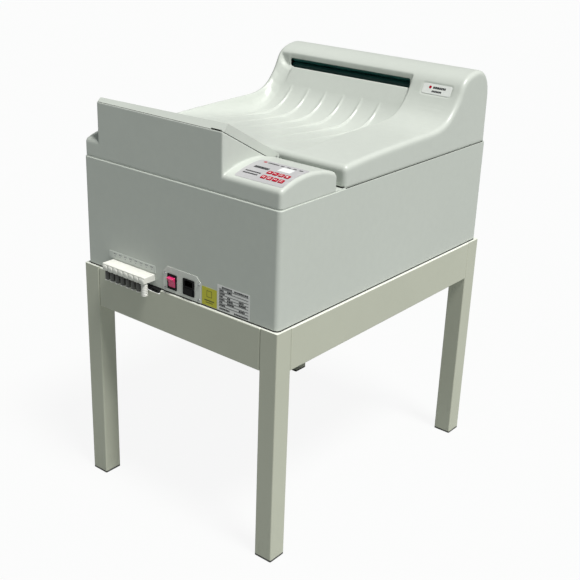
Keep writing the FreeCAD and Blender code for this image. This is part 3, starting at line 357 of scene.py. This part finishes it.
# ------------------------------------------------------------- CAD refinement
def dress(n, width=0.0008, seg=2, angle=35.0, dissolve=0.6):
    """bevel and even shading on a CAD node through modifiers only"""
    o = NODES[n]
    for p in o.data.polygons:
        p.use_smooth = True
    w = o.modifiers.new("weld", "WELD")
    w.merge_threshold = 0.00002
    d = o.modifiers.new("flat", "DECIMATE")
    d.decimate_type = "DISSOLVE"
    d.angle_limit = math.radians(dissolve)
    if n == "tank_housing":
        hx, hy, rr = 0.310, 0.4285, 0.012
        vg = o.vertex_groups.new(name="rim")
        pick = []
        for v in o.data.vertices:
            if abs(v.co.z - 0.877) > 0.0002:
                continue
            ax, ay = abs(v.co.x), abs(v.co.y - YS)
            cxx, cyy = max(0.0, ax - (hx - rr)), max(0.0, ay - (hy - rr))
            if abs(math.hypot(cxx, cyy) - rr) < 0.0006:
                pick.append(v.index)
        for i in pick:
            yy = o.data.vertices[i].co.y
            vg.add([i], 1.0 if yy < 0.0 else 0.22, "REPLACE")
        rb = o.modifiers.new("rim_edge", "BEVEL")
        rb.width = 0.0024
        rb.segments = 3
        rb.limit_method = "VGROUP"
        rb.vertex_group = "rim"
        rb.use_clamp_overlap = True
    if width:
        b_ = o.modifiers.new("edge", "BEVEL")
        b_.width = width
        b_.segments = seg
        b_.limit_method = "ANGLE"
        b_.angle_limit = math.radians(angle)
        b_.harden_normals = False
        b_.use_clamp_overlap = True
        b_.miter_outer = "MITER_ARC"
    wn = o.modifiers.new("shade", "WEIGHTED_NORMAL")
    wn.keep_sharp = True
    wn.weight = 80


BEVELS = {
    "tank_housing": 0.0009, "feed_lid": 0.0012, "hose_manifold": 0.0008, "apron_front": 0.0006,
    "apron_rear": 0.0006, "aprons_side": 0.0006, "leg_front_left": 0.0006, "leg_front_right": 0.0006,
    "leg_rear_left": 0.0006, "leg_rear_right": 0.0006, "foot_caps": 0.0008, "switch_plate": 0.0003,
    "switch_bezel": 0.0004, "mains_inlet": 0.0004, "fuse_drawer": 0.0004, "rocker": 0.0005,
    "nameplate": 0.0003, "lid_hinge_bases": 0.0004, "lid_hinge_leaves": 0.0004, "display_window": 0.0003,
    "bath_tanks": 0.0010, "rack_developer": 0.0006, "rack_fixer": 0.0006, "rack_wash": 0.0006,
    "feed_frame": 0.0004, "dryer_frame": 0.0004, "dryer_duct": 0.0006, "fan_frame": 0.0006,
    "drive_rail": 0.0004, "drive_motor": 0.0010, "circulation_pump": 0.0010, "control_board": 0.0003,
    "fasteners": 0.0002, "hose_tails": 0.0003, "dryer_heater": 0.0004, "fan_rotor": 0.0002,
    "drive_shaft": 0.0004,
}
for n in NODES:
    w = BEVELS.get(n)
    if n.startswith("key_"):
        w = 0.0004
    if n.startswith(("roller_", "feed_roller", "exit_roller")):
        w = 0.0005
    if n in ("main_lid", "front_cover"):
        continue
    dress(n, w or 0.0)


# ------------------------------------------------------- moulded cover shells
def bake(o):
    dg = bpy.context.evaluated_depsgraph_get()
    e = o.evaluated_get(dg)
    me = bpy.data.meshes.new_from_object(e)
    old = o.data
    o.modifiers.clear()
    o.data = me
    bpy.data.meshes.remove(old)
    return o


def shell(node, name, voxel, smooth_it, keep_low, ratio):
    """rounds every edge of a moulded cover: fine remesh, then smoothing everywhere but the bottom lip"""
    src = NODES[node]
    o = bpy.data.objects.new(name, src.data.copy())
    bpy.context.scene.collection.objects.link(o)
    w = o.modifiers.new("weld", "WELD")
    w.merge_threshold = 0.00002
    r = o.modifiers.new("re", "REMESH")
    r.mode = "VOXEL"
    r.voxel_size = voxel
    r.use_smooth_shade = True
    sw = o.modifiers.new("snap", "SHRINKWRAP")
    sw.target = src
    sw.wrap_method = "NEAREST_SURFACEPOINT"
    bake(o)
    vg = o.vertex_groups.new(name="round")
    idx = [v.index for v in o.data.vertices if v.co.z > keep_low]
    vg.add(idx, 1.0, "REPLACE")
    s = o.modifiers.new("sm", "SMOOTH")
    s.factor = 0.5
    s.iterations = smooth_it
    s.vertex_group = "round"
    bake(o)
    d = o.modifiers.new("thin", "DECIMATE")
    d.decimate_type = "COLLAPSE"
    d.ratio = ratio
    bake(o)
    for p in o.data.polygons:
        p.use_smooth = True
    assign(o, M[SLOT_OF[node]])
    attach(o, BODY_OF[node])
    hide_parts(node)
    return o


VOX = 0.0023
lid_shell = shell("main_lid", "lid_shell", VOX, 9, 0.8815, 0.45)
cover_shell = shell("front_cover", "cover_shell", VOX * 0.8, 5, 0.8815, 0.45)

# ------------------------------------------------------------- printed marks
DOME_Y, DOME_Z, DOME_R = -327.0, 697.6, 242.5


def dome_point(x, y, h):
    z = DOME_Z + math.sqrt(DOME_R ** 2 - (y - DOME_Y) ** 2)
    n = Vector((0, (y - DOME_Y) / DOME_R, (z - DOME_Z) / DOME_R))
    return P(x, y, z) + n * (h / 1000.0)


def face_point(x, z, h):
    return P(x, -428.5 - h, z)


NP_C = Vector((233.0, 280.6, 1022.6))
NP_N = Vector((0, -0.885, 0.466)).normalized()
NP_U = Vector((1, 0, 0))
NP_V = NP_N.cross(NP_U)


def plate_point(u, v, h):
    q = NP_C + NP_U * u + NP_V * v + NP_N * h
    return P(q.x, q.y, q.z)


def slab(bm, where, a0, a1, b0, b1, h0, h1, r=0.0, nseg=4, div=1):
    """thin rounded bar laid on a surface, given by where(a, b, height)"""
    pts = []
    r = min(r, (a1 - a0) / 2 - 1e-4, (b1 - b0) / 2 - 1e-4)
    if r > 0:
        for (ca, cb, t0) in ((a1 - r, b1 - r, 0), (a0 + r, b1 - r, 90), (a0 + r, b0 + r, 180), (a1 - r, b0 + r, 270)):
            for k in range(nseg + 1):
                t = math.radians(t0 + 90.0 * k / nseg)
                pts.append((ca + r * math.cos(t), cb + r * math.sin(t)))
    else:
        for k in range(div + 1):
            pts.append((a0, b0 + (b1 - b0) * k / div))
        for k in range(div + 1):
            pts.append((a1, b1 - (b1 - b0) * k / div))
    top = [bm.verts.new(where(p[0], p[1], h1)) for p in pts]
    bot = [bm.verts.new(where(p[0], p[1], h0)) for p in pts]
    bm.faces.new(top)
    bm.faces.new(bot[::-1])
    n = len(pts)
    for i in range(n):
        j = (i + 1) % n
        bm.faces.new((top[i], bot[i], bot[j], top[j]))


def piece(name, bm, mat_, body, smooth=False):
    bmesh.ops.recalc_face_normals(bm, faces=bm.faces)
    me = bpy.data.meshes.new(name)
    bm.to_mesh(me)
    bm.free()
    o = bpy.data.objects.new(name, me)
    bpy.context.scene.collection.objects.link(o)
    me.materials.append(mat_)
    for p in me.polygons:
        p.use_smooth = smooth
    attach(o, body)
    return o


# front labels replace the plain CAD plates
bm = bmesh.new()
slab(bm, face_point, 132.5, 230.0, 604.5, 666.0, 0.0, 0.4, 1.0)
rating = piece("rating_label", bm, M["panel_label"], "machine")
bm = bmesh.new()
slab(bm, face_point, 85.0, 131.0, 604.5, 649.0, 0.0, 0.4, 1.0)
yellow = piece("yellow_label", bm, YELLOW, "machine")
bm = bmesh.new()
slab(bm, face_point, -228.0, -67.0, 637.0, 654.5, 0.0, 1.4, 0.8)
strip = piece("port_strip", bm, PALE, "machine")
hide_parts("panel_labels")
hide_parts("panel_labels")
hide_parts("panel_labels")

bm = bmesh.new()
rows = [657.6, 650.6, 643.6, 636.6, 629.6, 622.6, 615.6]
for z in rows:
    slab(bm, face_point, 138.0, 226.0, z - 0.6, z + 0.6, 0.35, 0.5)
rnd = random.Random(7)


def words(bm, where, a0, a1, b0, b1, h0, h1, wmin, wmax, gap):
    """a broken bar: blocks of uneven width standing in for a printed line"""
    a = a0
    while a < a1 - wmin * 0.5:
        w = min(rnd.uniform(wmin, wmax), a1 - a)
        slab(bm, where, a, a + w, b0, b1, h0, h1)
        a += w + gap


words(bm, face_point, 147.0, 177.0, 659.2, 663.8, 0.35, 0.5, 2.4, 4.2, 0.9)
words(bm, face_point, 184.0, 226.0, 659.2, 663.2, 0.35, 0.5, 2.2, 5.0, 0.9)
for i, z in enumerate(rows[1:]):
    words(bm, face_point, 139.5, (152.0, 157.0, 150.0, 155.0, 150.0, 158.0)[i], z + 1.3, z + 5.2, 0.35, 0.5, 2.6, 5.0, 0.7)
    if i in (0, 2, 3, 4):
        words(bm, face_point, 163.0, (178.0, 0, 172.0, 180.0, 184.0)[i], z + 1.3, z + 5.4, 0.35, 0.5, 3.0, 5.4, 0.7)
    if i in (2, 3, 5):
        words(bm, face_point, 198.0, (0, 0, 212.0, 220.0, 0, 216.0)[i], z + 1.3, z + 5.4, 0.35, 0.5, 3.0, 5.4, 0.7)
words(bm, face_point, 140.0, 172.0, 607.6, 611.8, 0.35, 0.5, 2.2, 4.6, 0.9)
words(bm, face_point, 184.0, 226.0, 606.0, 610.0, 0.35, 0.5, 2.2, 4.6, 0.9)
piece("rating_marks", bm, INK, "machine")

bm = bmesh.new()
slab(bm, face_point, 93.0, 123.0, 616.0, 618.6, 0.35, 0.5)
slab(bm, face_point, 97.0, 119.0, 611.4, 613.2, 0.35, 0.5)
# plain square outline in place of a symbol
for a0, a1, b0, b1 in ((100.0, 116.0, 640.6, 641.8), (100.0, 116.0, 625.8, 627.0), (100.0, 101.2, 627.0, 640.6),
                       (114.8, 116.0, 627.0, 640.6)):
    slab(bm, face_point, a0, a1, b0, b1, 0.35, 0.5)
piece("yellow_marks", bm, INK_OLIVE, "machine")

bm = bmesh.new()
for k in range(8):
    x = -207 + 18.3 * k
    slab(bm, face_point, x - 4.0, x + 1.0, 648.8, 650.8, 1.35, 1.5)
    slab(bm, face_point, x + 2.0, x + 5.0, 648.8, 650.8, 1.35, 1.5)
    slab(bm, face_point, x - 1.5, x + 1.5, 643.6, 645.0, 1.35, 1.5)
piece("port_marks", bm, INK_SOFT, "machine")

# overlay print on the dome
bm = bmesh.new()
for k in range(4):
    x = 234.4 + 16.9 * k
    words(bm, dome_point, x - 4.8, x + 4.8, -336.8, -332.0, 0.55, 0.72, 4.2, 5.0, 0.5)
words(bm, dome_point, 194.0, 226.0, -337.0, -331.6, 0.55, 0.72, 3.6, 4.8, 0.8)
words(bm, dome_point, 182.0, 222.0, -370.4, -361.4, 0.55, 0.72, 4.6, 6.4, 0.7)
for y, x1 in ((-388.5, 220.0), (-397.0, 216.0)):
    words(bm, dome_point, 176.0, x1, y - 2.0, y + 2.0, 0.55, 0.72, 3.4, 6.6, 0.8)
piece("overlay_marks", bm, INK, "machine")

def symbol(bm, k, x, y):
    h0, h1 = 1.5, 1.72
    f = dome_point

    def bar(a0, a1, b0, b1):
        slab(bm, f, x + a0, x + a1, y + b0, y + b1, h0, h1)

    def disc(ca, cb, r):
        slab(bm, f, x + ca - r, x + ca + r, y + cb - r, y + cb + r, h0, h1, r, 5)

    if k == 0:
        bar(-3.4, 3.4, -0.7, 0.7)
        bar(-0.7, 0.7, -3.4, -0.75)
        bar(-0.7, 0.7, 0.75, 3.4)
    elif k == 1:
        bar(-3.4, 3.4, -0.8, 0.8)
    elif k == 2:
        for b_ in (-2.4, 0.0, 2.4):
            bar(-3.2, 3.2, b_ - 0.45, b_ + 0.45)
    elif k == 3:
        disc(0, 0, 2.5)
    elif k == 4:
        bar(-2.8, -1.2, -3.0, 3.0)
        bar(1.2, 2.8, -3.0, 3.0)
    elif k == 5:
        bar(-3.0, 3.0, 2.0, 3.0)
        bar(-3.0, 3.0, -3.0, -2.0)
        bar(-3.0, -2.0, -2.0, 2.0)
        bar(2.0, 3.0, -2.0, 2.0)
    elif k == 6:
        disc(-2.2, 0, 1.3)
        disc(2.2, 0, 1.3)
    else:
        bar(-3.2, 3.2, 1.4, 2.5)
        bar(-3.2, 3.2, -2.5, -1.4)


k = 0
for y in (-377.2, -397.2):
    for x in (234.6, 250.6, 266.6, 282.6):
        bm = bmesh.new()
        symbol(bm, k, x, y)
        piece("key_mark_%d" % (k + 1), bm, WHITE_INK, "key_%d" % (k + 1))
        k += 1

# nameplate print
bm = bmesh.new()
words(bm, plate_point, -12.0, 25.0, 1.2, 7.2, -0.45, -0.28, 3.8, 5.6, 0.8)
words(bm, plate_point, -13.0, 15.0, -8.4, -3.4, -0.45, -0.28, 3.4, 5.0, 0.6)
piece("nameplate_marks", bm, INK, "main_lid")
bm = bmesh.new()
slab(bm, plate_point, -24.5, -16.5, 0.2, 8.2, -0.45, -0.25, 4.0, 6)
piece("nameplate_dot", bm, M["key"], "main_lid")
bm = bmesh.new()
slab(bm, dome_point, 181.0, 190.0, -338.0, -330.0, 0.55, 0.75, 4.0, 6)

piece("overlay_dot", bm, M["key"], "machine")

# dark strip painting the shade of the gap under the main lid, along the right, rear and left of the rim
bm = bmesh.new()


def wall_x(sx, off):
    def f(a, b, h):
        return P(sx * (307.0 + off + h), a, b)
    return f


slab(bm, wall_x(1, 0.0), -199.0, 416.0, 877.3, 879.35, 0.02, 0.36)
slab(bm, wall_x(-1, 0.0), -199.0, -93.0, 877.3, 879.35, 0.02, 0.36)
slab(bm, wall_x(-1, 0.0), -27.0, 267.0, 877.3, 879.35, 0.02, 0.36)
slab(bm, lambda a, b, h: P(a, 425.5 + h, b), -298.0, 298.0, 877.3, 879.35, 0.02, 0.36)
piece("lid_gap_shade_strip", bm, BLACK_RUBBER_AND_SHADE, "machine")

# dark strip painting the shadow line along the film tray's front and side edges, under the feed lid
TS, TC = math.sin(math.radians(29.0)), math.cos(math.radians(29.0))


def tray_point(x, s_, h):
    return P(x, -426.0 + s_ * TC + h * TS, 1015.2 - s_ * TS + h * TC)


bm = bmesh.new()
slab(bm, lambda a, b, h: tray_point(a, 3.4 + h, b), -257.5, 140.6, 0.02, 1.12, 0.0, 1.6)
slab(bm, lambda a, b, h: tray_point(139.4 + h, a, b), 5.2, 196.0, 0.02, 1.12, 0.0, 1.75)
slab(bm, lambda a, b, h: tray_point(141.0 + h, a, b), 5.2, 196.0, -0.9, 1.12, 0.01, 0.3)
slab(bm, lambda a, b, h: tray_point(-257.9 + h, a, b), 5.2, 196.0, 0.02, 1.12, 0.0, 1.5)
piece("tray_gap_shade_strip", bm, BLACK_RUBBER_AND_SHADE, "machine")

# dark strip painting the shade of the gap between the housing and the stand
bm = bmesh.new()
n_arc = 8
for z0, z1, off in ((600.06, 603.7, 0.12),):
    ring_o, ring_i = [], []
    for (ca, cb, t0) in ((298.0, 416.5, 0), (-298.0, 416.5, 90), (-298.0, -416.5, 180), (298.0, -416.5, 270)):
        for k in range(n_arc + 1):
            t = math.radians(t0 + 90.0 * k / n_arc)
            for ring, r in ((ring_o, 12.0 - off), (ring_i, 8.2)):
                ring.append((ca + r * math.cos(t), cb + r * math.sin(t)))
    vo0 = [bm.verts.new(P(a, b, z0)) for a, b in ring_o]
    vo1 = [bm.verts.new(P(a, b, z1)) for a, b in ring_o]
    vi0 = [bm.verts.new(P(a, b, z0)) for a, b in ring_i]
    vi1 = [bm.verts.new(P(a, b, z0 + 0.3)) for a, b in ring_i]
    nn = len(ring_o)
    for i in range(nn):
        j = (i + 1) % nn
        bm.faces.new((vo0[i], vo0[j], vo1[j], vo1[i]))
        bm.faces.new((vo1[i], vo1[j], vi1[j], vi1[i]))
        bm.faces.new((vi1[i], vi1[j], vi0[j], vi0[i]))
        bm.faces.new((vi0[i], vi0[j], vo0[j], vo0[i]))
piece("stand_gap_shade_strip", bm, BLACK_RUBBER_AND_SHADE, "machine", smooth=False)

# rubber strip in the apron notch behind the tails
bm = bmesh.new()
slab(bm, lambda a, b, h: P(a, -430.6 + h, b), -223.5, -79.0, 589.6, 599.8, 0.0, 12.0, 1.5)
for k in range(10):
    x = -219.0 + 14.0 * k
    slab(bm, lambda a, b, h: P(a, -430.6 + h, b), x, x + 9.0, 592.6, 597.0, -0.8, 0.1, 1.0)
piece("notch_strip", bm, BLACK_RUBBER_AND_SHADE, "machine")

# dark sleeves painting the shade on the seven nozzles under the block, pale rolled ends on them, and the ribbed end
# of the drain tail


def tube(bm, x, y, prof, seg=28):
    rings = []
    for r, z in prof:
        rings.append([bm.verts.new(P(x + r * math.cos(2 * math.pi * i / seg), y + r * math.sin(2 * math.pi * i / seg), z))
                      for i in range(seg)])
    n = len(rings)
    for a in range(n):
        lo_r, hi_r = rings[a], rings[(a + 1) % n]
        for i in range(seg):
            j = (i + 1) % seg
            bm.faces.new((lo_r[i], lo_r[j], hi_r[j], hi_r[i]))


bm = bmesh.new()
for k in range(7):
    tube(bm, -207.0 + 18.3 * k, -454.5, [(6.3, 591.2), (6.75, 591.6), (6.75, 613.6), (6.3, 614.2), (6.22, 614.0), (6.22, 591.4)])
piece("nozzle_shade_sleeves", bm, SHADE_SLEEVE, "machine", smooth=True)
bm = bmesh.new()
for k in range(7):
    tube(bm, -207.0 + 18.3 * k, -454.5, [(4.4, 589.4), (6.6, 588.8), (7.4, 589.6), (7.4, 590.8), (6.9, 591.4), (4.4, 591.4)])
piece("nozzle_ends", bm, WHITE_TAIL, "machine", smooth=True)
bm = bmesh.new()
for j in range(2):
    z = 583.6 + 3.2 * j
    tube(bm, -207.0 + 18.3 * 7, -454.5, [(4.3, z), (7.0, z), (8.1, z + 0.9), (8.1, z + 1.5), (7.0, z + 3.0), (4.3, z + 3.0)])
piece("drain_tail_end", bm, WHITE_TAIL, "machine", smooth=True)

# rounded pads down the front of the hose block
bm = bmesh.new()
for k in range(8):
    xc = -207.0 + 18.3 * k
    prof = []
    for i in range(9):
        t = math.radians(-90.0 + 180.0 * i / 8.0)
        prof.append((xc + 7.6 * math.sin(t), 1.5 * max(0.0, math.cos(t)) ** 0.7))
    lo_ = [bm.verts.new(P(a, -464.0 - h - 0.0, 616.4)) for a, h in prof]
    hi_ = [bm.verts.new(P(a, -464.0 - h * 0.9, 628.6)) for a, h in prof]
    tp_ = bm.verts.new(P(xc, -463.9, 630.6))
    bt_ = bm.verts.new(P(xc, -463.9, 616.2))
    for i in range(8):
        bm.faces.new((lo_[i], lo_[i + 1], hi_[i + 1], hi_[i]))
        bm.faces.new((hi_[i], hi_[i + 1], tp_))
        bm.faces.new((lo_[i + 1], lo_[i], bt_))
piece("block_pads", bm, M["manifold"], "machine", smooth=True)

# rocker's pressed-in marks
RC = Vector((-10.0, -426.5, 631.0))
bm = bmesh.new()


def rock_point(u, v, h):
    # upper rocker face from its top edge to the middle
    a = Vector((0, -13.2, 10.4))
    c = Vector((0, -6.2, 0.2))
    t = (v + 4.9) / 9.8
    base = c.lerp(a, t)
    n = Vector((0, -(a.z - c.z), (a.y - c.y))).normalized()
    q = RC + base + n * h + Vector((u, 0, 0))
    return P(q.x, q.y, q.z)


slab(bm, rock_point, -1.0, 1.0, -2.8, 2.8, -0.05, 0.12)
piece("rocker_mark", bm, ROCK_INK, "rocker")

# ---------------------------------------------------------------------- stage
bm = bmesh.new()
bmesh.ops.create_grid(bm, x_segments=2, y_segments=2, size=40.0)
me = bpy.data.meshes.new("floor")
bm.to_mesh(me)
bm.free()
floor = bpy.data.objects.new("floor", me)
bpy.context.scene.collection.objects.link(floor)
m, nt, b, tc = new_mat("floor_paper")
n1 = noise(nt, tc, 3.0, 3.0)
c1 = ramp(nt, n1.outputs["Fac"], [(0.3, (0.352, 0.368, 0.362)), (0.7, (0.360, 0.376, 0.37))])
nt.links.new(c1.outputs["Color"], b.inputs["Base Color"])
b.inputs["Roughness"].default_value = 0.9
b.inputs["Specular IOR Level"].default_value = 0.1
lp = nt.nodes.new("ShaderNodeLightPath")
em = nt.nodes.new("ShaderNodeEmission")
em.inputs["Color"].default_value = (1.0, 1.0, 1.0, 1.0)
em.inputs["Strength"].default_value = 1.04
mx = nt.nodes.new("ShaderNodeMixShader")
fa = nt.nodes.new("ShaderNodeMath")
fa.operation = "MULTIPLY"
fa.inputs[1].default_value = 0.88
nt.links.new(lp.outputs["Is Camera Ray"], fa.inputs[0])
nt.links.new(fa.outputs[0], mx.inputs[0])
nt.links.new(b.outputs[0], mx.inputs[1])
nt.links.new(em.outputs[0], mx.inputs[2])
nt.links.new(mx.outputs[0], nt.nodes["Material Output"].inputs["Surface"])
me.materials.append(m)

# --------------------------------------------------------------------- lights
world = bpy.data.worlds.new("studio")
bpy.context.scene.world = world
world.use_nodes = True
bg = world.node_tree.nodes["Background"]
bg.inputs["Color"].default_value = (0.93, 1.0, 0.985, 1.0)
bg.inputs["Strength"].default_value = 0.185


def sun(name, to_light, strength, angle, col=(1, 1, 1)):
    d = bpy.data.lights.new(name, "SUN")
    d.energy = strength
    d.angle = math.radians(angle)
    d.color = col
    o = bpy.data.objects.new(name, d)
    bpy.context.scene.collection.objects.link(o)
    v = Vector(to_light).normalized()
    o.rotation_mode = "QUATERNION"
    o.rotation_quaternion = v.to_track_quat("Z", "Y")
    return o


sun("key_sun", (0.49, -0.07, 1.0), 1.26 * math.pi, 16.0, (1.0, 0.992, 0.965))

# --------------------------------------------------------------------- camera
az, el, roll = math.radians(38.45), math.radians(22.54), math.radians(2.10)
back = Vector((math.sin(az) * math.cos(el), -math.cos(az) * math.cos(el), math.sin(el)))
fwd = -back
right = fwd.cross(Vector((0, 0, 1))).normalized()
up = right.cross(fwd)
r_ = right * math.cos(roll) + up * math.sin(roll)
u_ = right * -math.sin(roll) + up * math.cos(roll)
cam_d = bpy.data.cameras.new("camera")
cam_d.lens = 63.36
cam_d.sensor_width = 36.0
cam_d.clip_end = 200.0
cam = bpy.data.objects.new("camera", cam_d)
bpy.context.scene.collection.objects.link(cam)
mat4 = Matrix((r_, u_, back)).transposed().to_4x4()
mat4.translation = P(1579.3, -1987.7, 1538.1)
cam.matrix_world = mat4
bpy.context.scene.camera = cam
bpy.context.scene.view_settings.view_transform = "Standard"
bpy.context.scene.view_settings.look = "None"
